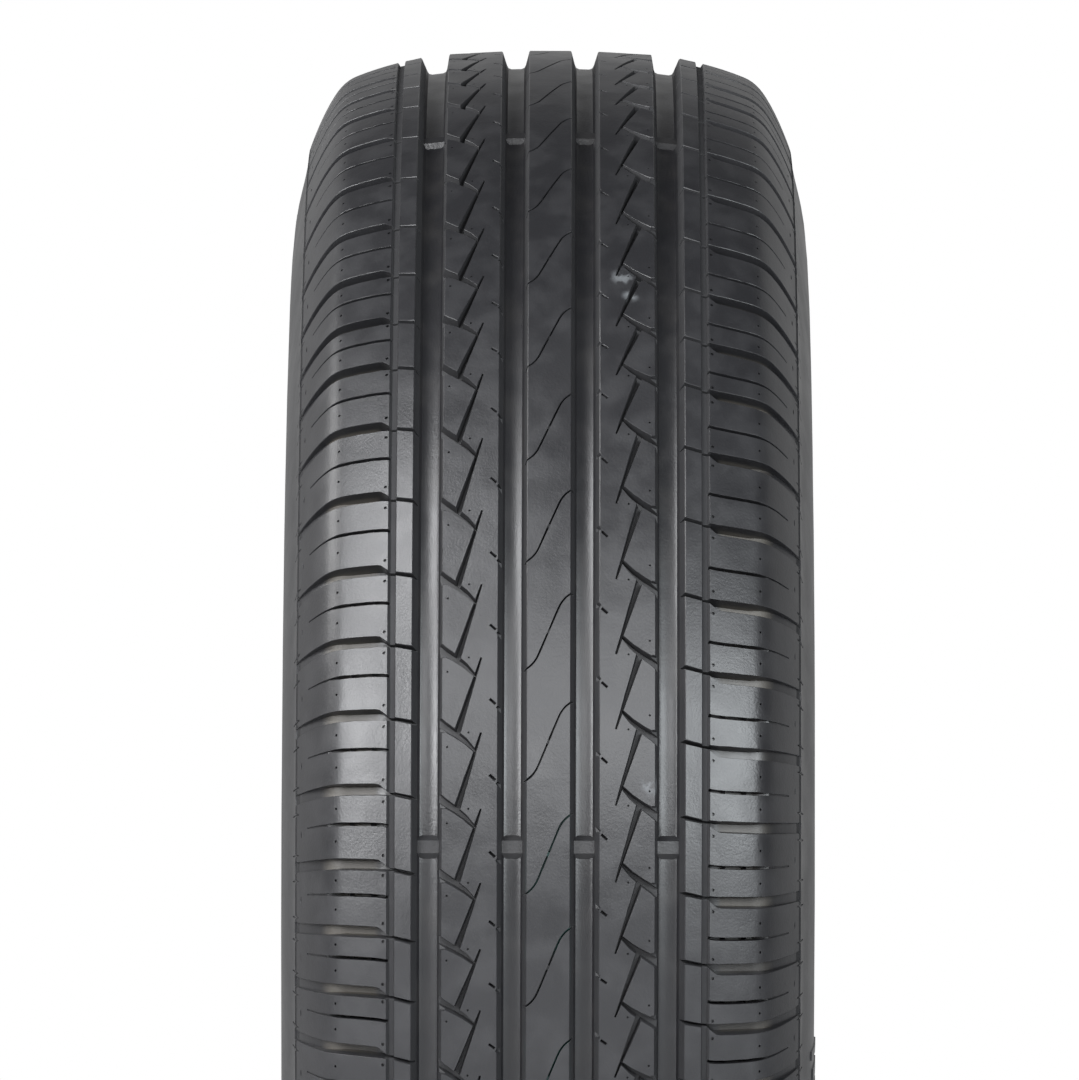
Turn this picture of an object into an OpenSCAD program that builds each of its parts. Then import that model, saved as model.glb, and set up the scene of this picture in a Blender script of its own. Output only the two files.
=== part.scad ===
// Radial car tyre, moulded in one piece. The origin is the middle of the
// tyre, the axle runs along Y and +Z is up. The front of the tread faces +X.

/* [Overall] */
// Height of the tread over the bead seats
section_h = 127.4; // [117:0.2:137]
// Width over the sidewalls at their widest
section_w = 198.6; // [190:0.2:206]
// Height of the widest place of the sidewalls over the bead seats
widest_h = 46; // [40:0.5:56]
// Diameter of the two bead seats
seat_d = 380.2; // [374:0.1:386]
// Width between the rim flanges that the beads press against
rim_w = 152; // [146:0.5:158]

/* [Tread profile] */
// Radius of the tread across its middle
crown_r = 480; // [350:5:700]
// Distance from the middle at which the tread starts to fall away
crown_w = 39; // [34:0.5:44]
// Radius of the tread across its shoulders
shoulder_r = 125; // [105:1:160]
// Distance from the middle to the edge of the tread
tread_w = 79; // [76:0.5:82]
// Height from the edge of the tread down to the foot of its rounded corner
corner_h = 6.1; // [5:0.1:8]
// Width of that corner
corner_w = 4.8; // [3.5:0.1:6]

/* [Casing] */
// Thickness under the middle of the tread, with the tread
crown_t = 15; // [13:0.5:19]
// Thickness of the sidewalls at their widest
wall_t = 7; // [5:0.5:10]
// Width of each bead seat
seat_w = 15; // [12:0.5:18]
// Radius of the heel of each bead
heel_r = 6; // [4:0.5:8]
// Height of the bead's flat outer face over the seat
flange_h = 14; // [11:0.5:17]
// Thickness of the bead where the wall grows out of it
bead_t = 15; // [12:0.5:18]

/* [Main grooves] */
// Distance from the middle to the inner pair of grooves
inner_at = 13.35; // [12.5:0.05:14]
// Width of the inner grooves at the tread
inner_w = 10.3; // [9:0.1:11]
// Distance from the middle to the outer pair of grooves
outer_at = 44.7; // [44:0.1:45.5]
// Width of the outer grooves at the tread
outer_w = 10.8; // [9.5:0.1:11.5]
// Depth of the main grooves
groove_h = 7; // [5.5:0.1:8]
// How much narrower each side of a groove is at its floor
groove_in = 1.7; // [1:0.1:2.2]
// Radius between the floor and the sides of a groove
groove_r = 1.5; // [0.8:0.1:2]
// Distance from the middle to the thin groove of each shoulder
thin_at = 57.8; // [57:0.1:58.5]
// Width of the thin groove
thin_w = 2; // [1.2:0.1:2.4]
// Depth of the thin groove
thin_h = 3; // [2:0.1:3.8]

/* [Wear bars] */
// Height of the wear bars over the floor of the main grooves
bar_h = 1.6; // [1.2:0.1:2]
// Length of the top of a wear bar
bar_l = 4.6; // [3:0.1:8]
// Length of the ramp at each end of a wear bar
bar_ramp = 2; // [1:0.1:3]

/* [Lateral pattern] */
// Length of the shortest pitch beside the others, which share the way round
pitch_1 = 4.1; // [3.9:0.05:4.3]
// Length of the second pitch
pitch_2 = 4.55; // [4.4:0.05:4.75]
// Length of the third pitch
pitch_3 = 5.1; // [4.9:0.05:5.25]
// Length of the fourth pitch
pitch_4 = 5.5; // [5.35:0.05:5.65]
// Length of the longest pitch
pitch_5 = 5.85; // [5.7:0.05:6]
// Width of the wide shoulder grooves
slot_w = 4.2; // [3.5:0.1:5]
// Depth of the wide shoulder grooves
slot_h = 5.5; // [4.5:0.1:6.5]
// Distance from the middle at which the wide grooves have their full width
slot_in = 62.6; // [61:0.1:65]
// Width of the slit that runs on from each wide groove across the narrow rib
slit_w = 1.4; // [1:0.1:2.4]
// How far round the tyre the slit leans on its way in
slit_lean = 5.4; // [4:0.1:7]
// Width of the shoulder sipes
sipe_w = 1.3; // [1:0.1:1.8]
// Depth of the shoulder sipes
sipe_h = 4; // [3:0.1:5]
// Place of the shoulder sipes along their pitch
sipe_at = 0.47; // [0.42:0.01:0.55]
// Depth of the cuts in the two ribs beside the middle one
slash_h = 5; // [3.5:0.1:6]
// Width of the wide end of the slashes
slash_w = 2.4; // [1.8:0.1:3]
// Width of the side cuts where they leave the outer grooves
side_w = 3.4; // [2.5:0.1:4.5]
// Width of the tip of the side cuts
side_tip = 1.2; // [0.8:0.1:2]
// Number of wavy sipes in the middle rib
wave_n = 48; // [46:1:50]
// Width of the wavy sipes
wave_w = 0.7; // [0.6:0.05:1]
// Depth of the wavy sipes
wave_h = 4.5; // [3:0.1:6]

/* [Hidden] */
rubber = [0.13, 0.13, 0.135];
seat_r = seat_d / 2;
tyre_r = seat_r + section_h;
widest_r = seat_r + widest_h;
turn_fn = 360;
clear = 1;

// Places of the six sets of wear bars round the tyre
bar_at = [1.2, 62.5, 121, 182, 241, 302];

// Order of the pitches round the tyre, by number
pitch_of = [pitch_1, pitch_2, pitch_3, pitch_4, pitch_5];
order = [1, 1, 2, 3, 3, 3, 3, 4, 4, 3, 1, 2, 3, 5, 5, 4, 2, 1, 3, 4, 2, 3, 5, 4,
         2, 1, 1, 3, 3, 5, 4, 3, 2, 2, 3, 4, 5, 3, 1, 2, 3, 4, 3, 2, 5, 4, 3, 1,
         1, 2, 4, 5, 3, 3, 2, 4, 3, 2, 1, 3, 5, 5, 3, 2, 4, 3, 3, 2, 1, 3, 4, 3];
pitches = len(order);
function total(i) = i == 0 ? 0 : total(i - 1) + pitch_of[order[i - 1] - 1];
round_total = total(pitches);
function pitch_a(i) = 360 * total(i) / round_total;
function pitch_l(i) = 2 * PI * tyre_r * pitch_of[order[(i + pitches) % pitches] - 1] / round_total;
left_start = -12.4;
right_start = -15.62;

// The tread falls away from its middle along one arc, then along a tighter one
crown_a = asin(crown_w / crown_r);
crown_fall = crown_r * (1 - cos(crown_a));
shoulder_y = crown_w - shoulder_r * sin(crown_a);
function fall(y) = y <= crown_w
    ? crown_r - sqrt(crown_r ^ 2 - y ^ 2)
    : crown_fall + shoulder_r * cos(crown_a) - sqrt(shoulder_r ^ 2 - (y - shoulder_y) ^ 2);
function slope(y) = y <= crown_w ? asin(y / crown_r) : asin((y - shoulder_y) / shoulder_r);

function bezier(a, b, c, d, n, first = 0) = [for (i = [first:n]) let (t = i / n)
    a * (1 - t) ^ 3 + 3 * b * t * (1 - t) ^ 2 + 3 * c * t ^ 2 * (1 - t) + d * t ^ 3];

// Outline of the right half of the section, as [radius, distance from the middle].
// The ribs are straight across, so the lines between them lie in the grooves.
edge = [tyre_r - fall(tread_w), tread_w];
wing = edge + [-corner_h, corner_w];
widest = [widest_r, section_w / 2];
wing_foot = [tyre_r - 0.46 * (tyre_r - widest_r), section_w / 2 - 6.3];
flange = [seat_r + flange_h, rim_w / 2];
cheek = flange + [7, 2.4];
tread_line = [for (y = [outer_at, thin_at]) [tyre_r - fall(y), y]];
low_wing = bezier(wing_foot, wing_foot + [-16, 1.6], widest + [24, 0], widest, 4, 1);
low_line = bezier(widest, widest + [-12, 0], cheek + [6, 11.5], cheek, 6, 1);
cheek_line = bezier(cheek, cheek + [-2.5, -1.6], flange + [3, 0], flange, 3, 1);
heel_line = [for (a = [0:22.5:90]) [seat_r + heel_r * (1 - sin(a)), rim_w / 2 - heel_r * (1 - cos(a))]];
toe = [seat_r, rim_w / 2 - heel_r - seat_w];
toe_line = [toe, toe + [0.8, -1.2], toe + [3, -1.6]];
neck = flange + [3, -bead_t];
inner_widest = widest + [0, -wall_t];
inner_edge = [tyre_r - crown_t, 50];
bead_line = bezier(toe + [3, -1.6], toe + [10, -1], neck + [-7, -1], neck, 4, 1);
inner_low = bezier(neck, neck + [14, 3], inner_widest + [-16, 0], inner_widest, 6, 1);
inner_wing = bezier(inner_widest, inner_widest + [32, 0], inner_edge + [-2, 26], inner_edge, 8, 1);
half_line = concat([[tyre_r, inner_at]], tread_line, [edge, wing, wing_foot], low_wing, low_line,
    cheek_line, heel_line, toe_line, bead_line, inner_low, inner_wing);
other_line = [for (i = [len(half_line) - 1:-1:0]) [half_line[i][0], -half_line[i][1]]];

module at_groove(at) {
    translate([tyre_r - fall(at), at]) rotate(slope(at) - 90) children();
}

module main_groove(at, w) {
    side_a = atan(groove_h / groove_in);
    side = [groove_in, groove_h] / norm([groove_in, groove_h]);
    arc_c = [w / 2 - groove_in - groove_r * tan(side_a / 2), groove_r - groove_h];
    arc = [for (i = [0:4]) arc_c + groove_r * [sin(side_a * (1 - i / 4)), -cos(side_a * (1 - i / 4))]];
    right = concat([[w / 2, 0] + clear * side], arc);
    left = [for (i = [len(right) - 1:-1:0]) [-right[i][0], right[i][1]]];
    at_groove(at) polygon(concat(right, left));
}

module thin_groove() {
    at_groove(thin_at) translate([-thin_w / 2, -thin_h]) square([thin_w, thin_h + clear]);
}

module half_grooves() {
    main_groove(inner_at, inner_w);
    main_groove(outer_at, outer_w);
    thin_groove();
}

module casing() {
    rotate([-90, 0, 0]) rotate_extrude($fn = turn_fn) difference() {
        polygon(concat(half_line, other_line));
        half_grooves();
        mirror([0, 1]) half_grooves();
    }
}

// Outline of a cut that follows a line of [distance out, height up, width]
function ribbon(line) = let (
    n = len(line) - 1,
    normal = [for (i = [0:n]) let (
        d = line[min(i + 1, n)] - line[max(i - 1, 0)],
        flat = [d[0], d[1]]) [-flat[1], flat[0]] / norm(flat)],
    left = [for (i = [0:n]) [line[i][0], line[i][1]] + normal[i] * line[i][2] / 2],
    right = [for (i = [n:-1:0]) [line[i][0], line[i][1]] - normal[i] * line[i][2] / 2])
    concat(left, right);

// Lays the children on the front of the tread at a distance from the middle,
// with X outwards to the side, Y round the tyre and Z proud
module on_tread(y) {
    translate([tyre_r - fall(y), y, 0]) rotate([0, 0, slope(y)]) rotate([90, 0, 90]) children();
}

// Cuts an outline straight into the tread, down to a depth at a distance from the middle
module cut(y, h, line) {
    on_tread(y) translate([0, 0, -h]) linear_extrude(h + 3) translate([-y, 0]) polygon(line);
}

// Repeats a cut round the tyre at every turn in a list
module round_tyre(turns) {
    for (a = turns) rotate([0, -a, 0]) children();
}

// Every pitch of both sides: the left half of the pattern is the right half turned end for end
module both_sides(kind) {
    for (i = [0:pitches - 1]) {
        rotate([180, -left_start - pitch_a(i), 0]) pitch_cut(kind, pitch_l(i), pitch_l(i + 1));
        rotate([0, -right_start - pitch_a(i), 0]) pitch_cut(kind, pitch_l(i - 1), pitch_l(i - 2));
    }
}

// The cuts of one pitch of the right half
module pitch_cut(kind, pitch, next) {
    if (kind == "slot") slot();
    if (kind == "slit") slit();
    if (kind == "sipe") sipe(pitch);
    if (kind == "rib") rib_cuts(pitch, next);
}

// Wide shoulder groove, which runs over the edge of the tread and out on the wing
module slot() {
    line = [[tyre_r - fall(slot_in) - slot_h, slot_in], edge + [0.5 - slot_h, -1], wing_foot + [-0.3, 0.5]];
    out = section_w / 2 + clear;
    linear_extrude(slot_w) polygon(concat(line, [[line[2][0], out], [tyre_r + clear, out],
        [tyre_r + clear, slot_in]]));
}

// Slit that joins a wide shoulder groove to the outer main groove
module slit() {
    inner = outer_at + outer_w / 2 - groove_in - clear;
    outer = slot_in + 1.4;
    cut(58, slot_h - 0.8,
        [[inner, slit_lean], [outer, 0.9], [outer, slot_w - 0.9], [inner, slit_lean + slit_w]]);
}

module sipe(pitch) {
    at = -sipe_at * pitch;
    cut(66, sipe_h, ribbon([[thin_at + 2.5, at + 0.1, sipe_w], [tread_w + 3, at + 0.9, sipe_w]]));
}

// Slash and side cut of the rib beside the middle one
module rib_cuts(pitch, next) {
    cut(29, slash_h, [[33.5 - slash_w / 2, -0.62 * pitch], [33.5 + slash_w / 2, -0.66 * pitch],
        [24.4, -pitch - 0.69 * next]]);
    cut(29, slash_h, ribbon([[41, -0.82 * pitch, side_w], [26.5, -0.42 * pitch, side_tip]]));
}

module wave() {
    cut(0, wave_h, ribbon([[9, 15.2, wave_w], [4.8, 11.2, wave_w],
        [-4.8, -11.2, wave_w], [-9, -15.2, wave_w]]));
}

module waves() {
    round_tyre([for (i = [0:wave_n - 1]) 0.7 + 360 * i / wave_n]) wave();
}

// One wear bar across a main groove, from wall to wall
module wear_bar(at, w) {
    half_top = bar_l / 2;
    sunk = 0.6;
    across = w - 2 * groove_in * (1 - bar_h / groove_h) + sunk;
    on_tread(at) translate([-across / 2, 0, -groove_h]) rotate([90, 0, 90]) linear_extrude(across)
        polygon([[-half_top - bar_ramp, -sunk], [half_top + bar_ramp, -sunk], [half_top + bar_ramp, 0],
            [half_top, bar_h], [-half_top, bar_h], [-half_top - bar_ramp, 0]]);
}

module wear_bars() {
    round_tyre(bar_at) for (turn = [0, 180]) rotate([turn, 0, 0]) {
        wear_bar(inner_at, inner_w);
        wear_bar(outer_at, outer_w);
    }
}

module tyre() {
    color(rubber) difference() {
        union() {
            casing();
            wear_bars();
        }
        both_sides("slot");
        both_sides("slit");
        both_sides("sipe");
        both_sides("rib");
        waves();
    }
}

tyre();
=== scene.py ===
# Car tyre, seen square to its tread: one moulded piece with the pits of its mould vents
import math

import bmesh
import bpy
from mathutils import Matrix, Vector


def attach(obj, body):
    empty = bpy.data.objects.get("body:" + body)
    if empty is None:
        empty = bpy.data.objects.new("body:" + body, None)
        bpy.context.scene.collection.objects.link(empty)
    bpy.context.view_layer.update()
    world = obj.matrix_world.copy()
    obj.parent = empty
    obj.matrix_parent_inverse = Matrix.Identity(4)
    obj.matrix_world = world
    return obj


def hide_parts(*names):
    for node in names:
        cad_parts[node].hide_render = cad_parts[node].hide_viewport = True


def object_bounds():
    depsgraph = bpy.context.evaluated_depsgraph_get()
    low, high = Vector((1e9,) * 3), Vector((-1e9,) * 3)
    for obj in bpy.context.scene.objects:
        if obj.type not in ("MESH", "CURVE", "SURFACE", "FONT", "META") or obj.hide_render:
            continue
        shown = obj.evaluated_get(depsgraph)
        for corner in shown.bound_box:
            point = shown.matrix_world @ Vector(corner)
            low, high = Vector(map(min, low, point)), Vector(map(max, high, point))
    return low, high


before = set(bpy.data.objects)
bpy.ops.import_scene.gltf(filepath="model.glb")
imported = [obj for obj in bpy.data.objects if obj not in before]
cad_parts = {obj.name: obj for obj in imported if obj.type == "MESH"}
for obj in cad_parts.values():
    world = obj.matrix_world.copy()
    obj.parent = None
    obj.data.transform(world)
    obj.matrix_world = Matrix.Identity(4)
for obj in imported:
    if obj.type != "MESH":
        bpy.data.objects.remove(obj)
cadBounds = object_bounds()
mm = 0.001

# The moulding, in mm, as on the drawing of the solid
mould = {
    "radius": 317.5,         # of the tread at its middle
    "crownRadius": 480.0,    # of the tread across its middle
    "crownTo": 39.0,         # where the tread starts to fall away
    "shoulderRadius": 125.0,
    "treadTo": 79.0,         # edge of the tread
    "roundFrom": 75.0,
    "cornerDrop": 6.1,       # rounded corner at the edge of the tread
    "cornerOut": 4.8,
    "footDrop": 37.4,        # thin line round the foot of the wings
    "footOut": 93.0,
    "footDeep": 1.1,
    "widestRadius": 236.1,
    "widest": 99.3,
    "seatRadius": 190.1,
    "seatWidth": 15.0,
    "heel": 6.0,
    "flange": 14.0,
    "rimHalf": 76.0,
    "beadThick": 15.0,
    "crownThick": 15.0,
    "wallThick": 7.0,
    "steps": 126,            # round the tyre
}

grooves = {
    "inner": {"at": 13.35, "width": 10.3, "deep": 7.0, "draft": 1.7, "corner": 1.5, "chamfer": 0.35},
    "outer": {"at": 44.7, "width": 10.8, "deep": 7.0, "draft": 1.7, "corner": 1.5, "chamfer": 0.35},
    "thin": {"at": 57.8, "width": 2.9, "deep": 1.6, "draft": 0.5, "corner": 0, "chamfer": 0.15},
}

# Pitches round the tyre: five lengths in a mixed order, so that the tread hums less
pitchShares = [4.1, 4.55, 5.1, 5.5, 5.85]
pitchOrder = (
    "112333344312355421342354"
    "211335432234531234325431"
    "124533243213553243321343"
)
pattern = {
    "leftStart": -12.4,      # degrees, first pitch of the left shoulder
    "rightStart": -15.62,    # and of the right shoulder
    "waveStart": 0.7,
    "waves": 48,
    "wearBars": [1.2, 62.5, 121.0, 182.0, 241.0, 302.0],
}


def fall(y):
    # how far the tread has dropped at a distance from the middle
    crown = mould["crownRadius"]
    edge = mould["crownTo"]
    if y <= edge:
        return crown - math.sqrt(crown ** 2 - y ** 2)
    shoulder = mould["shoulderRadius"]
    lean = math.asin(edge / crown)
    centre = edge - shoulder * math.sin(lean)
    start = crown * (1 - math.cos(lean)) + shoulder * math.cos(lean)
    return start - math.sqrt(shoulder ** 2 - (y - centre) ** 2)


def bezier(a, b, c, d, count):
    points = []
    for i in range(1, count + 1):
        t = i / count
        points.append(a * (1 - t) ** 3 + 3 * b * t * (1 - t) ** 2 + 3 * c * t ** 2 * (1 - t) + d * t ** 3)
    return points


def treadPoint(y):
    return Vector((mould["radius"] - fall(y), y))


def outerLine():
    # smooth outside of the right half, from the middle of the tread to the widest place
    shoulder = treadPoint(mould["treadTo"]) + Vector((-mould["cornerDrop"], mould["cornerOut"]))
    line = [treadPoint(y * 0.5) for y in range(0, int(mould["roundFrom"] * 2) + 1)]
    edge = line[-1]
    lean = (line[-1] - line[-2]).normalized()
    foot = Vector((mould["radius"] - mould["footDrop"], mould["footOut"]))
    widest = Vector((mould["widestRadius"], mould["widest"]))
    wingWay = Vector((-0.84, 0.54))    # the way the outline runs below the corner
    footWay = Vector((-0.94, 0.34))    # and at the foot of the wing
    line += bezier(edge, edge + lean * 4.2, shoulder - wingWay * 4.4, shoulder, 6)
    line += bezier(shoulder, shoulder + wingWay * 7, foot - footWay * 7, foot, 6)
    line += bezier(foot, foot + Vector((-16, 1.6)), widest + Vector((24, 0)), widest, 7)
    return line


outside = outerLine()


def onSurface(y):
    # point and outward normal of the outside at a distance from the middle, as (radius, y)
    side = -1 if y < 0 else 1
    y = abs(y)
    for first, second in zip(outside, outside[1:]):
        if second.y >= y:
            break
    t = (y - first.y) / max(second.y - first.y, 1e-9)
    point = first.lerp(second, t)
    way = (second - first).normalized()
    return Vector((point.x, point.y * side)), Vector((way.y, -way.x * side))


def grooveLine(groove):
    # the points of one groove, from its inner lip to its outer lip
    half = groove["width"] / 2
    lip = groove["chamfer"]
    floorHalf = half - groove["draft"]
    corner = groove["corner"]
    deep = groove["deep"]
    flat = [(-half - lip, 0), (-half, -lip)]
    if corner:
        flat += [(-floorHalf - 0.2, corner - deep), (-floorHalf + corner * 0.25, corner * 0.3 - deep)]
    flat.append((-floorHalf + corner, -deep))
    flat += [(-across, height) for across, height in reversed(flat)]
    point, normal = onSurface(groove["at"])
    along = Vector((-normal.y, normal.x))
    return [point + along * across + normal * height for across, height in flat]


def sectionLine():
    # closed outline of the right half, from the middle of the tread round to the middle of the inside
    m = mould
    inner, outer, thin = (grooves[name] for name in ("inner", "outer", "thin"))

    def rib(start, end, count):
        return [treadPoint(start + (end - start) * i / count) for i in range(1, count)]

    def lip(groove, side):
        return groove["at"] + side * (groove["width"] / 2 + groove["chamfer"])

    line = [treadPoint(0), treadPoint(lip(inner, -1) * 0.5)] + grooveLine(inner)
    line += rib(lip(inner, 1), lip(outer, -1), 3) + grooveLine(outer)
    line += rib(lip(outer, 1), lip(thin, -1), 2) + grooveLine(thin)
    line += rib(lip(thin, 1), m["roundFrom"], 4)
    wing = [p for p in outside if p.y >= m["roundFrom"] - 0.01]
    foot = m["radius"] - m["footDrop"]
    line += [p for p in wing if p.x > foot + 1.6]
    footPoint = min(wing, key=lambda p: abs(p.x - foot))
    out = Vector((0.35, 0.94))
    line += [footPoint + Vector((0.6, -0.22)), footPoint - out * m["footDeep"], footPoint + Vector((-0.7, 0.22))]
    line += [p for p in wing if p.x < foot - 2.5]
    widest = Vector((m["widestRadius"], m["widest"]))
    flange = Vector((m["seatRadius"] + m["flange"], m["rimHalf"]))
    cheek = flange + Vector((7, 2.4))
    line += bezier(widest, widest + Vector((-12, 0)), cheek + Vector((6, 11.5)), cheek, 9)
    line += bezier(cheek, cheek + Vector((-2.5, -1.6)), flange + Vector((3, 0)), flange, 2)
    heel = m["heel"]
    for i in range(5):
        a = math.radians(22.5 * i)
        radius = m["seatRadius"] + heel * (1 - math.sin(a))
        line.append(Vector((radius, m["rimHalf"] - heel * (1 - math.cos(a)))))
    toe = Vector((m["seatRadius"], m["rimHalf"] - heel - m["seatWidth"]))
    toeTop = toe + Vector((3, -1.6))
    neck = flange + Vector((3, -m["beadThick"]))
    innerWidest = widest + Vector((0, -m["wallThick"]))
    innerEdge = Vector((m["radius"] - m["crownThick"], 50))
    line += [toe, toe + Vector((0.8, -1.2)), toeTop]
    line += bezier(toeTop, toeTop + Vector((7, 0.6)), neck + Vector((-7, -1)), neck, 3)
    line += bezier(neck, neck + Vector((14, 3)), innerWidest + Vector((-16, 0)), innerWidest, 4)
    line += bezier(innerWidest, innerWidest + Vector((32, 0)), innerEdge + Vector((-2, 26)), innerEdge, 6)
    line.append(Vector((m["radius"] - m["crownThick"], 0)))
    return line


def pitchTurns(start):
    # start angle and length in mm of every pitch, going round from a first angle
    shares = [pitchShares[int(sign) - 1] for sign in pitchOrder]
    total = sum(shares)
    turns = []
    angle = start
    for share in shares:
        turns.append((angle, 2 * math.pi * mould["radius"] * share / total))
        angle += 360 * share / total
    return turns


def newBody():
    bm = bmesh.new()
    half = sectionLine()
    other = [Vector((p.x, -p.y)) for p in reversed(half[1:-1])]
    ring = [bm.verts.new((p.x * mm, p.y * mm, 0)) for p in half + other]
    edges = [bm.edges.new((a, b)) for a, b in zip(ring, ring[1:] + ring[:1])]
    bmesh.ops.spin(bm, geom=ring + edges, cent=(0, 0, 0), axis=(0, 1, 0), dvec=(0, 0, 0),
                   angle=2 * math.pi, steps=mould["steps"], use_merge=True, use_duplicate=False)
    bmesh.ops.remove_doubles(bm, verts=bm.verts, dist=1e-7)
    bmesh.ops.recalc_face_normals(bm, faces=bm.faces)
    return bm


def surfaceFrame(y, v):
    # place on the outside: v mm round the tyre from the front, with its outward,
    # sideways and round-the-tyre directions
    point, normal = onSurface(y)
    turn = v / mould["radius"]
    radial = Vector((math.cos(turn), 0, math.sin(turn)))
    around = Vector((-math.sin(turn), 0, math.cos(turn)))
    across = Vector((0, 1, 0))
    place = radial * point.x + across * point.y
    out = radial * normal.x + across * normal.y
    side = across * normal.x - radial * normal.y
    return place, out, side, around


def sweptMesh(name, rings):
    # closed mesh: the first ring of points is extruded from ring to ring, and its ends are filled
    bm = bmesh.new()
    ring = [bm.verts.new(p) for p in rings[0]]
    edges = [bm.edges.new(pair) for pair in zip(ring, ring[1:] + ring[:1])]
    firstEdges = edges
    for points in rings[1:]:
        made = bmesh.ops.extrude_edge_only(bm, edges=edges)["geom"]
        fresh = {v for v in made if isinstance(v, bmesh.types.BMVert)}
        ring = [next(e.other_vert(v) for e in v.link_edges if e.other_vert(v) in fresh) for v in ring]
        edges = [bm.edges.get(pair) for pair in zip(ring, ring[1:] + ring[:1])]
        for v, p in zip(ring, points):
            v.co = p
    bmesh.ops.contextual_create(bm, geom=firstEdges)
    bmesh.ops.contextual_create(bm, geom=edges)
    bmesh.ops.recalc_face_normals(bm, faces=bm.faces)
    mesh = bpy.data.meshes.new(name)
    bm.to_mesh(mesh)
    bm.free()
    return mesh


def followMesh(name, stations, outline):
    # closed mesh along the outside through stations of (y, v, width, depth); v runs down at +Y
    rings = []
    for i, (y, v, width, depth) in enumerate(stations):
        before = stations[max(i - 1, 0)]
        after = stations[min(i + 1, len(stations) - 1)]
        start = surfaceFrame(before[0], before[1])[0]
        end = surfaceFrame(after[0], after[1])[0]
        place, out, side, around = surfaceFrame(y, v)
        way = end - start
        way = (way - out * way.dot(out)).normalized()
        left = out.cross(way)
        rings.append([(place + left * a + out * h) * mm for a, h in outline(width, depth)])
    return sweptMesh(name, rings)


def cutMesh(name, stations, chamfer, draft=0.06):
    # a cutter that stands over the surface, with a chamfer at the edge and walls that close in downwards
    lift = 1.5
    least = 0.12

    def outline(width, depth):
        half = width / 2
        low = max(half - draft * depth, least)
        shape = [(half + chamfer + lift, lift), (half, -chamfer), (low, -depth)]
        return shape + [(-a, h) for a, h in reversed(shape)]
    return followMesh(name, stations, outline)


def ridgeMesh(name, stations):
    # a raised rib with a flat top, rooted under the surface
    root = 0.6

    def outline(width, height):
        shape = [(width / 2 + 0.3, -root), (width / 2 - 0.15, height)]
        return shape + [(-a, h) for a, h in reversed(shape)]
    return followMesh(name, stations, outline)


def ventMesh(name, y, v, size):
    # small round pit left by a vent of the mould
    place, out, side, around = surfaceFrame(y, v)
    bm = bmesh.new()
    bmesh.ops.create_cone(bm, cap_ends=True, segments=5, radius1=size / 2, radius2=size / 2,
                          depth=wallMarks["ventDepth"])
    turn = Matrix((side, around, side.cross(around))).transposed().to_4x4()
    bmesh.ops.transform(bm, verts=bm.verts, matrix=Matrix.Translation(place + out * wallMarks["ventLift"]) @ turn)
    bmesh.ops.scale(bm, verts=bm.verts, vec=(mm, mm, mm))
    mesh = bpy.data.meshes.new(name)
    bm.to_mesh(mesh)
    bm.free()
    return mesh


def gather(name, placed):
    # one object from many turned copies of small meshes: (mesh, degrees round, turned end for end)
    bm = bmesh.new()
    for mesh, degrees, flipped in placed:
        copy = mesh.copy()
        if flipped:
            copy.transform(Matrix.Rotation(math.pi, 4, "X"))
        copy.transform(Matrix.Rotation(-math.radians(degrees), 4, "Y"))
        bm.from_mesh(copy)
        bpy.data.meshes.remove(copy)
    mesh = bpy.data.meshes.new(name)
    bm.to_mesh(mesh)
    bm.free()
    return newObject(name, mesh)


def newObject(name, mesh):
    thing = bpy.data.objects.new(name, mesh)
    bpy.context.scene.collection.objects.link(thing)
    return thing


def applyModifiers(thing):
    graph = bpy.context.evaluated_depsgraph_get()
    mesh = bpy.data.meshes.new_from_object(thing.evaluated_get(graph))
    thing.modifiers.clear()
    thing.data = mesh


def combine(body, tool, operation):
    boolean = body.modifiers.new(tool.name, "BOOLEAN")
    boolean.operation = operation
    boolean.solver = "MANIFOLD"
    boolean.object = tool
    applyModifiers(body)
    bpy.data.objects.remove(tool)
    print(operation.lower(), len(body.data.polygons), "faces")


shoulderCuts = {
    "slotWidth": 4.2,
    "slotDeep": 6.2,
    "slitWidth": 1.4,
    "slitDeep": 4.6,
    "sipeWidth": 1.25,
    "sipeDeep": 4.8,
    "sipeAt": 0.47,          # of the pitch
    "tieBars": [65.2, 73.1],
    "tieBarHalf": 0.6,
    "tieBarDepth": 1.3,      # of the sipe over a tie bar
}
ribCuts = {
    "slashDeep": 3.9,
    "slashFrom": 0.66,       # of the pitch
    "slashWidths": [2.6, 0.6],
    "crossDeep": 4.2,
    "strokeWidth": 0.9,
    "strokeDeep": 2.4,
}
waveCuts = {"width": 0.7, "deep": 3.5, "tieDepth": 0.8}
wearBar = {"high": 1.6, "half": 2.3, "ramp": 2.0, "sunk": 0.6}
# Marks of the mould: distance from the middle, share of the pitch and size of each vent
vents = [
    (60.4, 0.05, 1.4), (60.4, 0.76, 1.4),
    (77.9, 0.24, 1.1), (77.9, 0.68, 1.1),
    (37.1, 0.47, 0.9), (29.3, 0.66, 0.9),
]
wallMarks = {
    "ventDepth": 3.0,        # of the cutter, half of it over the surface but for a lift
    "ventLift": 0.45,
    "pitShift": -4.0,        # of the marks of a pitch along the tyre
    "pitAt": 91.0,
    "tickFrom": 91.9,
    "tickTo": 94.2,
    "ridges": 26,            # in each block of raised ribs on a sidewall
    "ridgeStep": 1.95,       # degrees
    "ridgeHigh": 0.5,
    "ridgeTops": [97.6, 98.2],
    "ridgeWidths": [3.4, 5.4],
    "blocks": [(-16.0, False), (164.0, False), (-42.0, True), (138.0, True)],
}


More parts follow.
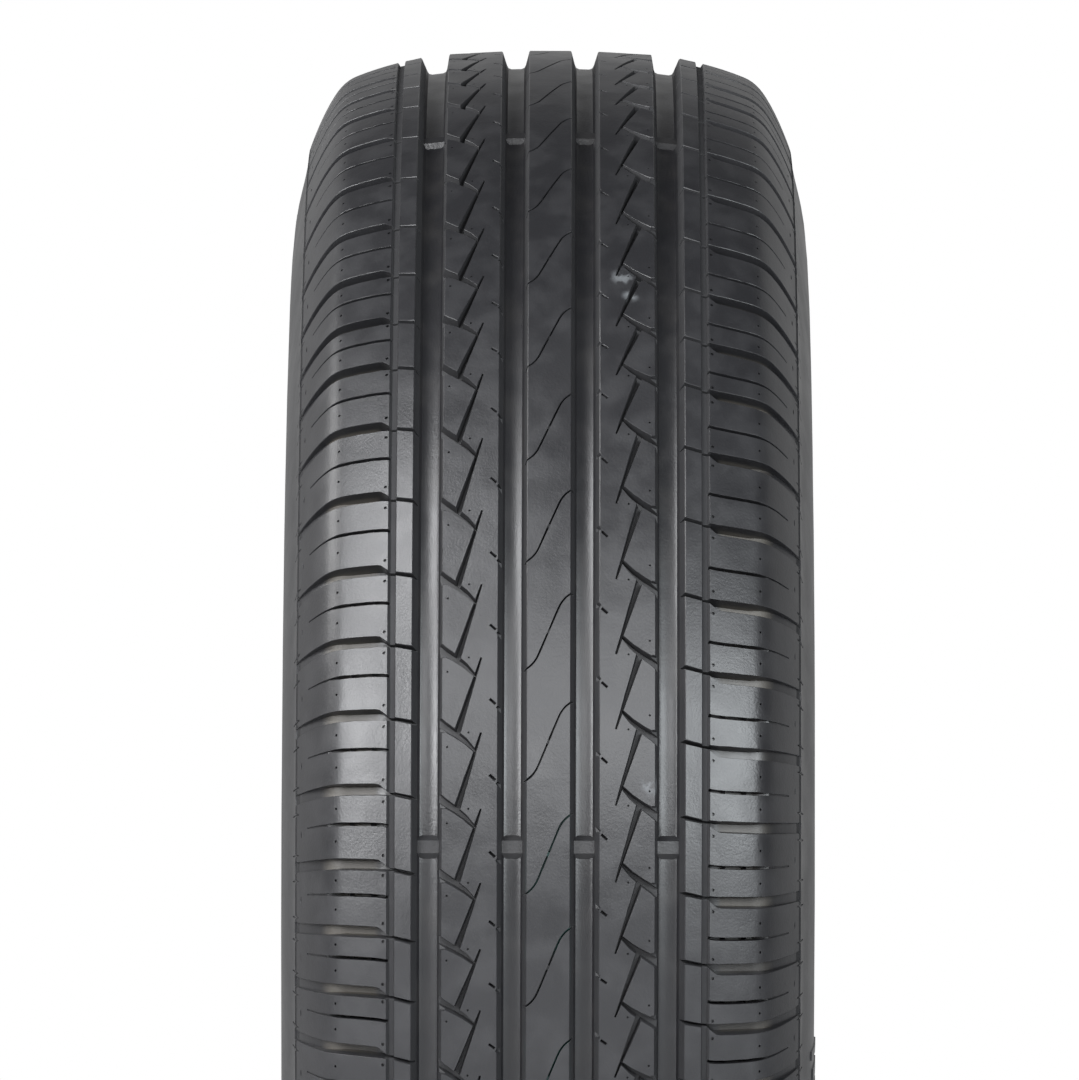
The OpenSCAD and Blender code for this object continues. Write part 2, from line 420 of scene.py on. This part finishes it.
def slotStations():
    c = shoulderCuts
    wide = c["slotWidth"]
    deep = c["slotDeep"]
    slit = c["slitWidth"]
    # a slit through the narrow rib opens into the slot, which runs out over the wing
    slitPart = [(49.0, -5.65, slit, c["slitDeep"]), (56.9, -3.9, slit, c["slitDeep"])]
    mouth = [(58.9, -3.75, slit + 0.1, deep - 0.8), (60.9, -2.95, 2.9, deep - 0.4), (62.6, -2.2, 4.0, deep)]
    shoulder = [(63.6, -2.1, wide, deep), (71.0, -1.9, wide, deep), (76.4, -1.85, wide, deep - 0.4),
                (79.0, -1.9, wide, deep - 1.3), (81.2, -2.0, wide, 3.9)]
    wing = [(83.2, -2.15, 4.1, 3.0), (86.0, -2.4, 4.0, 2.2), (89.0, -2.75, 3.9, 1.5), (91.4, -3.1, 3.8, 1.0),
            (93.3, -3.4, 3.7, 0.4)]
    return slitPart + mouth + shoulder + wing


def sipeStations():
    c = shoulderCuts
    width = c["sipeWidth"]
    deep = c["sipeDeep"]
    half = c["tieBarHalf"]
    stations = [(58.9, -0.75, width, deep), (61.0, -0.4, width, deep)]
    for at in c["tieBars"]:
        for y, depth in ((at - half, deep), (at, c["tieBarDepth"]), (at + half, deep)):
            stations.append((y, -0.0022 * (y - 73) ** 2, width, depth))
    stations.append((77.4, -0.05, width, deep))
    # a faint line goes on over the edge of the tread
    stations += [(79.6, -0.1, 0.9, 2.4), (81.6, -0.2, 0.7, 0.9), (84.5, -0.4, 0.6, 0.6), (88.6, -0.75, 0.45, 0.35)]
    return stations


def shifted(stations, v):
    return [(y, start + v, width, deep) for y, start, width, deep in stations]


def turnedDown(stations):
    # the stations are written as they lie on the left, and the right half runs the other way
    return [(y, -v, width, deep) for y, v, width, deep in stations]


def ribStations(length, following):
    # the cuts of one pitch of the ribs beside the middle
    c = ribCuts
    slash = []
    start = c["slashFrom"] * length
    end = length + c["slashFrom"] * following
    wide, narrow = c["slashWidths"]
    for t in (0, 0.25, 0.5, 0.75, 1):
        width = wide + (narrow - wide) * t
        slash.append((33.5 - 8.8 * t, start + (end - start) * t, width, c["slashDeep"] * (1 - 0.3 * t)))
    deep = c["crossDeep"]
    cross = [
        (41.0, 0.82 * length, 3.6, deep), (38.6, 0.755 * length, 3.2, deep), (34.5, 0.66 * length, 2.7, deep),
        (30.5, 0.55 * length, 2.1, deep - 0.4), (27.0, 0.42 * length, 1.2, deep - 1),
    ]
    corner = [(41.0, 0.82 * length - 2.2, 4.4, 3.0), (37.6, 0.73 * length - 1.2, 1.4, 1.6)]
    thin = (c["strokeWidth"], c["strokeDeep"])
    stroke = [(21.6, 0.105 * length, *thin), (19.4, 0.035 * length, *thin)]
    nick = [(19.0, 0.005 * length, 0.8, 2.6), (18.2, -0.015 * length, 1.8, 3.4), (16.8, -0.035 * length, 3.4, 4.0)]
    return {"slashes": slash, "cross_grooves": cross, "corners": corner, "strokes": stroke, "nicks": nick}


def waveStations():
    # the S-shaped sipe of the middle rib, with a tie bar halfway
    c = waveCuts
    half = [(9.0, 15.0), (7.6, 14.1), (6.2, 12.9), (5.2, 11.7), (4.3, 10.3), (3.4, 8.3), (2.0, 4.9)]
    line = [(y, v, c["width"], c["deep"]) for y, v in half]
    line += [(0.5, 1.2, c["width"], c["deep"]), (0.3, 0.7, c["width"], c["tieDepth"])]
    line += [(-0.3, -0.8, c["width"], c["tieDepth"]), (-0.5, -1.2, c["width"], c["deep"])]
    line += [(-y, -v, c["width"], c["deep"]) for y, v in reversed(half)]
    return line


def barMesh(groove):
    # wear bar across a main groove, with a ramp at each end
    high = wearBar["high"]
    half = wearBar["half"]
    foot = half + wearBar["ramp"]
    sunk = wearBar["sunk"]
    across = groove["width"] - 2 * groove["draft"] * (1 - high / groove["deep"]) + 0.5
    point, normal = onSurface(groove["at"])
    side = Vector((-normal.y, normal.x))
    base = point - normal * groove["deep"]
    shape = [(-foot, -sunk), (foot, -sunk), (foot, 0), (half, high), (-half, high), (-foot, 0)]
    rings = []
    for end in (-0.5, 0.5):
        corners = [(base + side * across * end + normal * h, v) for v, h in shape]
        rings.append([(point.x * mm, point.y * mm, v * mm) for point, v in corners])
    return sweptMesh("bar", rings)


# The left half is at -Y, so the patterns are drawn at +Y and turned end for end
def bothSides(make):
    placed = []
    left = pitchTurns(pattern["leftStart"])
    right = pitchTurns(pattern["rightStart"])
    for i, (angle, length) in enumerate(left):
        following = left[(i + 1) % len(left)][1]
        placed += [(mesh, angle, True) for mesh in make(length, following)]
    for i, (angle, length) in enumerate(right):
        before = right[i - 1][1]
        earlier = right[i - 2][1]
        placed += [(mesh, angle, False) for mesh in make(before, earlier)]
    return placed


print("building the moulding")
bodyMesh = bpy.data.meshes.new("tyre_moulding")
body = newBody()
body.to_mesh(bodyMesh)
body.free()
tyre = newObject("tyre_moulding", bodyMesh)
print("plain moulding", len(bodyMesh.polygons), "faces")

print("cutting the pattern")
bars = [barMesh(grooves["inner"]), barMesh(grooves["outer"])]
placedBars = []
for angle in pattern["wearBars"]:
    for mesh in bars:
        placedBars += [(mesh, angle, False), (mesh, angle, True)]
combine(tyre, gather("wear_bars", placedBars), "UNION")

slot = cutMesh("slot", turnedDown(slotStations()), chamfer=0.15, draft=0.12)
combine(tyre, gather("slots", bothSides(lambda length, following: [slot])), "DIFFERENCE")


def sipes(length, following):
    stations = shifted(sipeStations(), shoulderCuts["sipeAt"] * length)
    return [cutMesh("sipe", turnedDown(stations), chamfer=0.1, draft=0.03)]


combine(tyre, gather("sipes", bothSides(sipes)), "DIFFERENCE")
for kind in ("slashes", "cross_grooves", "corners", "strokes", "nicks"):
    def ribCut(length, following, kind=kind):
        stations = ribStations(length, following)[kind]
        return [cutMesh("rib_cut", turnedDown(stations), chamfer=0.15, draft=0.13)]
    combine(tyre, gather(kind, bothSides(ribCut)), "DIFFERENCE")
wave = cutMesh("wave", waveStations(), chamfer=0.08, draft=0.02)
waveTurns = [pattern["waveStart"] + i * 360 / pattern["waves"] for i in range(pattern["waves"])]
combine(tyre, gather("waves", [(wave, angle, False) for angle in waveTurns]), "DIFFERENCE")


def ventPits(length, following):
    return [ventMesh("vent", y, -share * length, size) for y, share, size in vents]


def wallPits(length, following):
    m = wallMarks
    at = m["pitAt"]
    middle = 0.5 * length + m["pitShift"]
    cuts = [[(at, middle - 1.4, 0.3, 0.2), (at, middle, 0.9, 0.6), (at, middle + 1.4, 0.3, 0.2)]]
    for share in (0.2, 0.8):
        v = share * length + m["pitShift"]
        cuts.append([(m["tickFrom"], v, 0.5, 0.35), (m["tickTo"], v - 0.3, 0.5, 0.35)])
    return [cutMesh("wall_mark", turnedDown(cut), chamfer=0.05) for cut in cuts]


print("marks of the mould")
combine(tyre, gather("vents", bothSides(ventPits)), "DIFFERENCE")
combine(tyre, gather("wall_marks", bothSides(wallPits)), "DIFFERENCE")
ridges = []
for index in range(wallMarks["ridges"]):
    # every third rib is narrow and every fourth one longer
    width = wallMarks["ridgeWidths"][index % 3 > 0]
    top = wallMarks["ridgeTops"][index % 4 > 0]
    ridge = ridgeMesh("ridge", [(y, 0, width, wallMarks["ridgeHigh"]) for y in (top, 98.7, 99.0, 99.28)])
    ridges += [(ridge, start - index * wallMarks["ridgeStep"], flipped) for start, flipped in wallMarks["blocks"]]
combine(tyre, gather("ridges", ridges), "UNION")


def finishMesh(thing, flatTo, sharpFrom):
    # merges what lies flat and shades the rest smooth, but for the edges sharper than an angle in degrees
    bm = bmesh.new()
    bm.from_mesh(thing.data)
    bmesh.ops.remove_doubles(bm, verts=bm.verts, dist=0.00001)
    bmesh.ops.dissolve_degenerate(bm, edges=bm.edges, dist=0.00001)
    bmesh.ops.dissolve_limit(bm, angle_limit=math.radians(flatTo), verts=bm.verts, edges=bm.edges)
    for face in bm.faces:
        face.smooth = True
    for edge in bm.edges:
        if len(edge.link_faces) == 2:
            edge.smooth = edge.calc_face_angle() < math.radians(sharpFrom)
    bm.to_mesh(thing.data)
    bm.free()


finishMesh(tyre, 0.8, 28)
print("moulding", sum(len(p.vertices) - 2 for p in tyre.data.polygons), "triangles")
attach(tyre, "root")
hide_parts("tyre")


rubberLook = {
    "colour": (0.012, 0.012, 0.0132, 1),
    "worn": (0.022, 0.022, 0.0235, 1),       # paler patches on the tread
    "dust": (0.1, 0.09, 0.075, 1),          # on the floors of the shoulder grooves
    "chalk": (0.09, 0.095, 0.1, 1),          # dried smudges
    "trace": (0.004, 0.05, 0.042, 1),        # green marking fluid in a few sipes
    # painted shade: a darker colour along the line at the foot of the wings, where shade falls in the groove
    "painted_shade": (0.004, 0.004, 0.0045, 1),      # in the line at the foot of the wings
    "roughness": 0.375,
    "smudges": [(27, 243, 5.5), (30, 233, 4.0), (38, 30, 6.0)],
}


def mathNode(tree, operation, first, second=None):
    node = tree.nodes.new("ShaderNodeMath")
    node.operation = operation
    for socket, value in zip(node.inputs, (first, second)):
        if isinstance(value, bpy.types.NodeSocket):
            tree.links.new(value, socket)
        elif value is not None:
            socket.default_value = value
    return node.outputs[0]


def rangeNode(tree, value, start, end, low=0.0, high=1.0):
    node = tree.nodes.new("ShaderNodeMapRange")
    node.interpolation_type = "SMOOTHSTEP"
    tree.links.new(value, node.inputs["Value"])
    for name, number in (("From Min", start), ("From Max", end), ("To Min", low), ("To Max", high)):
        node.inputs[name].default_value = number
    return node.outputs[0]


def noiseNode(tree, vector, scale, detail=3.0):
    node = tree.nodes.new("ShaderNodeTexNoise")
    node.inputs["Scale"].default_value = scale
    node.inputs["Detail"].default_value = detail
    tree.links.new(vector, node.inputs["Vector"])
    return node.outputs["Fac"]


def newGroup(name, outputs):
    group = bpy.data.node_groups.new(name, "ShaderNodeTree")
    group.interface.new_socket("Vector", in_out="INPUT", socket_type="NodeSocketVector")
    for output in outputs:
        group.interface.new_socket(output, in_out="OUTPUT", socket_type="NodeSocketFloat")
    start = group.nodes.new("NodeGroupInput")
    end = group.nodes.new("NodeGroupOutput")
    return group, start.outputs[0], end


def treadPlaces():
    # masks by place on the tyre: depth under the tread in mm, distance from the middle in mm, line at the foot
    group, vector, end = newGroup("tread_places", ["Depth", "Aside", "Foot"])
    split = group.nodes.new("ShaderNodeSeparateXYZ")
    group.links.new(vector, split.inputs[0])
    x, y, z = split.outputs
    radius = mathNode(group, "SQRT", mathNode(group, "ADD", mathNode(group, "MULTIPLY", x, x),
                                              mathNode(group, "MULTIPLY", z, z)))
    aside = mathNode(group, "MULTIPLY", mathNode(group, "ABSOLUTE", y), 1000.0)
    # the curve gives the drop of the outside at each distance from the middle, both as shares of a reach in mm
    reach = 100.0
    curve = group.nodes.new("ShaderNodeFloatCurve")
    points = curve.mapping.curves[0].points
    points[0].location = (0, 0)
    points[1].location = (1, 1)
    for at in (20, 39, 55, 65, 74):
        points.new(at / reach, fall(at) / reach)
    for p in outside[int(mould["roundFrom"] * 2) + 3::3]:
        if p.y < 97:
            points.new(p.y / reach, (mould["radius"] - p.x) / reach)
    curve.mapping.update()
    group.links.new(mathNode(group, "DIVIDE", aside, reach), curve.inputs["Value"])
    drop = mathNode(group, "MULTIPLY", curve.outputs[0], reach)
    under = mathNode(group, "SUBTRACT", mould["radius"], mathNode(group, "MULTIPLY", radius, 1000.0))
    group.links.new(mathNode(group, "SUBTRACT", under, drop), end.inputs["Depth"])
    group.links.new(aside, end.inputs["Aside"])
    offFoot = mathNode(group, "ABSOLUTE", mathNode(group, "SUBTRACT", under, mould["footDrop"]))
    group.links.new(rangeNode(group, offFoot, 1.5, 0.9), end.inputs["Foot"])
    return group


def paintNode(tree, colour, tint, mask):
    mix = tree.nodes.new("ShaderNodeMix")
    mix.data_type = "RGBA"
    tree.links.new(mask, mix.inputs["Factor"])
    if isinstance(colour, bpy.types.NodeSocket):
        tree.links.new(colour, mix.inputs["A"])
    else:
        mix.inputs["A"].default_value = colour
    mix.inputs["B"].default_value = tint
    return mix.outputs["Result"]


def productNode(tree, *masks):
    result = masks[0]
    for mask in masks[1:]:
        result = mathNode(tree, "MULTIPLY", result, mask)
    return result


def bandNode(tree, value, start, full, fade, end):
    # rises from start to full and falls from fade to end
    return productNode(tree, rangeNode(tree, value, start, full), rangeNode(tree, value, end, fade))


def smudgeMask(tree, vector):
    spots = None
    for y, v, size in rubberLook["smudges"]:
        distance = tree.nodes.new("ShaderNodeVectorMath")
        distance.operation = "DISTANCE"
        tree.links.new(vector, distance.inputs[0])
        distance.inputs[1].default_value = surfaceFrame(y, v)[0] * mm
        spot = rangeNode(tree, distance.outputs["Value"], size * mm, size * 0.25 * mm)
        spots = spot if spots is None else mathNode(tree, "MAXIMUM", spots, spot)
    return productNode(tree, spots, rangeNode(tree, noiseNode(tree, vector, 240), 0.42, 0.62, 0.0, 0.8))


def traceMask(tree, vector, depth, aside, cloudy):
    # in the waves of the middle rib, at the front and below the axle
    split = tree.nodes.new("ShaderNodeSeparateXYZ")
    tree.links.new(vector, split.inputs[0])
    low = rangeNode(tree, split.outputs["Z"], 0.04, 0.0)
    front = rangeNode(tree, split.outputs["X"], 0.1, 0.2)
    inWaves = productNode(tree, rangeNode(tree, depth, 0.25, 0.6), rangeNode(tree, aside, 8.5, 7.5))
    return productNode(tree, inWaves, low, front, rangeNode(tree, cloudy, 0.44, 0.58, 0.0, 0.9))


def mattMask(tree, depth, aside, foot):
    # the rib cuts, the thin grooves and the line at the foot are less polished than the tread
    cut = rangeNode(tree, depth, 0.3, 0.7)
    flank = productNode(tree, cut, rangeNode(tree, depth, 5.2, 4.6), rangeNode(tree, aside, 60, 59))
    inThin = productNode(tree, bandNode(tree, aside, 56.0, 56.4, 59.2, 59.6), cut, 0.6)
    matt = mathNode(tree, "MULTIPLY", mathNode(tree, "ADD", flank, inThin), 0.55)
    return mathNode(tree, "MAXIMUM", matt, foot)


def bumpNode(tree, height, strength, distance, normal=None):
    bump = tree.nodes.new("ShaderNodeBump")
    bump.inputs["Strength"].default_value = strength
    bump.inputs["Distance"].default_value = distance
    tree.links.new(height, bump.inputs["Height"])
    if normal is not None:
        tree.links.new(normal, bump.inputs["Normal"])
    return bump.outputs["Normal"]


def rubberMaterial():
    look = rubberLook
    material = bpy.data.materials.new("tread_rubber")
    material.use_nodes = True
    tree = material.node_tree
    shader = tree.nodes["Principled BSDF"]
    vector = tree.nodes.new("ShaderNodeTexCoord").outputs["Object"]
    places = tree.nodes.new("ShaderNodeGroup")
    places.node_tree = treadPlaces()
    tree.links.new(vector, places.inputs[0])
    depth, aside, foot = places.outputs
    broad = noiseNode(tree, vector, 14)
    cloudy = noiseNode(tree, vector, 75)
    fine = noiseNode(tree, vector, 1100, 2.0)

    patchy = productNode(tree, rangeNode(tree, cloudy, 0.38, 0.7), rangeNode(tree, depth, 0.6, 0.1), 0.55)
    colour = paintNode(tree, look["colour"], look["worn"], patchy)
    # tan dust lies on the floors of the shoulder grooves and thinly in the main grooves
    deepIn = rangeNode(tree, depth, 3.2, 5.4)
    onShoulder = bandNode(tree, aside, 61.5, 64, 79, 84)
    dusty = productNode(tree, deepIn, onShoulder, rangeNode(tree, broad, 0.3, 0.62, 0.15, 0.65))
    colour = paintNode(tree, colour, look["dust"], dusty)
    inRibs = rangeNode(tree, aside, 52, 49)
    thinDust = productNode(tree, deepIn, inRibs, rangeNode(tree, cloudy, 0.4, 0.75, 0.0, 0.05))
    colour = paintNode(tree, colour, look["dust"], thinDust)
    smudged = smudgeMask(tree, vector)
    colour = paintNode(tree, colour, look["chalk"], smudged)
    colour = paintNode(tree, colour, look["trace"], traceMask(tree, vector, depth, aside, cloudy))
    # painted shade darkens the line at the foot of the wings
    colour = paintNode(tree, colour, look["painted_shade"], productNode(tree, foot, 0.8))
    tree.links.new(colour, shader.inputs["Base Color"])

    plain = look["roughness"]
    rough = rangeNode(tree, broad, 0.3, 0.7, plain - 0.03, plain + 0.04)
    rough = mathNode(tree, "ADD", rough, rangeNode(tree, cloudy, 0.35, 0.65, -0.025, 0.025))
    for mask, more in ((dusty, 0.25), (smudged, 0.2), (mattMask(tree, depth, aside, foot), 0.5)):
        rough = mathNode(tree, "ADD", rough, mathNode(tree, "MULTIPLY", mask, more))
    tree.links.new(rough, shader.inputs["Roughness"])
    uneven = bumpNode(tree, cloudy, 0.35, 0.0006)
    tree.links.new(bumpNode(tree, fine, 0.24, 0.00025, uneven), shader.inputs["Normal"])
    return material


tyre.data.materials.clear()
tyre.data.materials.append(rubberMaterial())

# The camera looks square at the tread, a little raised, from five metres
view = {
    "distance": 5.08,
    "lens": 433.8,
    "sensor": 36,
    "up": 1.43,              # degrees
    "left": 0.042,
    "roll": 0.17,
}


def addCamera():
    data = bpy.data.cameras.new("camera")
    data.lens = view["lens"]
    data.sensor_width = view["sensor"]
    data.clip_end = 50
    camera = newObject("camera", data)
    up = math.tan(math.radians(view["up"]))
    left = math.tan(math.radians(view["left"]))
    aim = Vector((-1, -left, up)).to_track_quat("-Z", "Y").to_matrix().to_4x4()
    camera.matrix_world = (Matrix.Translation((view["distance"], 0, 0)) @ aim
                           @ Matrix.Rotation(math.radians(view["roll"]), 4, "Z"))
    bpy.context.scene.camera = camera


addCamera()

studio = {
    "floorSize": 3.6,
    "floor": (0.52, 0.52, 0.53, 1),
    "wallLeft": 0.5,         # brightness of the walls behind the tyre, as gloss shows them
    "wallRight": 0.52,
    "front": 0.12,           # and of the room in front of it
}


def addFloor():
    bm = bmesh.new()
    bmesh.ops.create_grid(bm, x_segments=1, y_segments=1, size=studio["floorSize"] / 2)
    bmesh.ops.translate(bm, verts=bm.verts, vec=(0, 0, cadBounds[0][2] - 0.0005))
    mesh = bpy.data.meshes.new("floor")
    bm.to_mesh(mesh)
    bm.free()
    floor = newObject("floor", mesh)
    material = bpy.data.materials.new("pale_floor")
    material.use_nodes = True
    shader = material.node_tree.nodes["Principled BSDF"]
    shader.inputs["Base Color"].default_value = studio["floor"]
    shader.inputs["Roughness"].default_value = 0.6
    mesh.materials.append(material)


addFloor()


def addWorld():
    # white to the camera; gloss shows the pale walls behind the tyre and a dim room in front
    world = bpy.data.worlds.new("studio")
    bpy.context.scene.world = world
    world.use_nodes = True
    tree = world.node_tree
    back = tree.nodes["Background"]
    coords = tree.nodes.new("ShaderNodeTexCoord")
    split = tree.nodes.new("ShaderNodeSeparateXYZ")
    tree.links.new(coords.outputs["Generated"], split.inputs[0])
    x, y, z = split.outputs
    behind = rangeNode(tree, x, 0.0, -0.35)
    height = bandNode(tree, z, -0.3, -0.1, 0.5, 0.8)
    sideways = rangeNode(tree, y, -0.1, 0.1, studio["wallLeft"], studio["wallRight"])
    wall = productNode(tree, behind, height, sideways)
    level = bandNode(tree, z, -0.25, -0.1, 0.2, 0.4)
    front = productNode(tree, rangeNode(tree, x, -0.35, 0.0, 0.0, studio["front"]), level)
    dim = mathNode(tree, "ADD", wall, front)
    path = tree.nodes.new("ShaderNodeLightPath")
    gloss = mathNode(tree, "MAXIMUM", path.outputs["Is Glossy Ray"], path.outputs["Is Transmission Ray"])
    seen = mathNode(tree, "MAXIMUM", path.outputs["Is Camera Ray"], mathNode(tree, "MULTIPLY", gloss, dim))
    back.inputs["Color"].default_value = (1, 1, 1, 1)
    tree.links.new(seen, back.inputs["Strength"])


addWorld()

lampsAway = 3.0
coolWhite = (0.97, 0.98, 1)
lamps = {
    "left_box": {"azimuth": -38, "height": 15, "size": (1.05, 1.0), "power": 85, "colour": coolWhite},
    "left_top": {"azimuth": -35, "height": 41, "size": (1.5, 0.9), "power": 76, "colour": coolWhite},
    "right_box": {"azimuth": 34, "height": 14, "size": (1.3, 1.4), "power": 78, "colour": (0.92, 0.97, 1)},
    "front_box": {"azimuth": 3, "height": 19, "size": (1.1, 1.3), "power": 37, "colour": coolWhite},
    "left_rim": {"azimuth": -87, "height": 29, "size": (1.7, 1.0), "power": 52, "colour": (1, 1, 1)},
}


def addLamps():
    for name, lamp in lamps.items():
        data = bpy.data.lights.new(name, "AREA")
        data.shape = "RECTANGLE"
        data.size, data.size_y = lamp["size"]
        data.energy = lamp["power"]
        data.color = lamp["colour"]
        thing = newObject(name, data)
        turn = math.radians(lamp["azimuth"])
        rise = math.radians(lamp["height"])
        way = Vector((math.cos(rise) * math.cos(turn), math.cos(rise) * math.sin(turn), math.sin(rise)))
        thing.matrix_world = Matrix.Translation(way * lampsAway) @ way.to_track_quat("Z", "Y").to_matrix().to_4x4()


addLamps()
bpy.context.scene.view_settings.view_transform = "Standard"
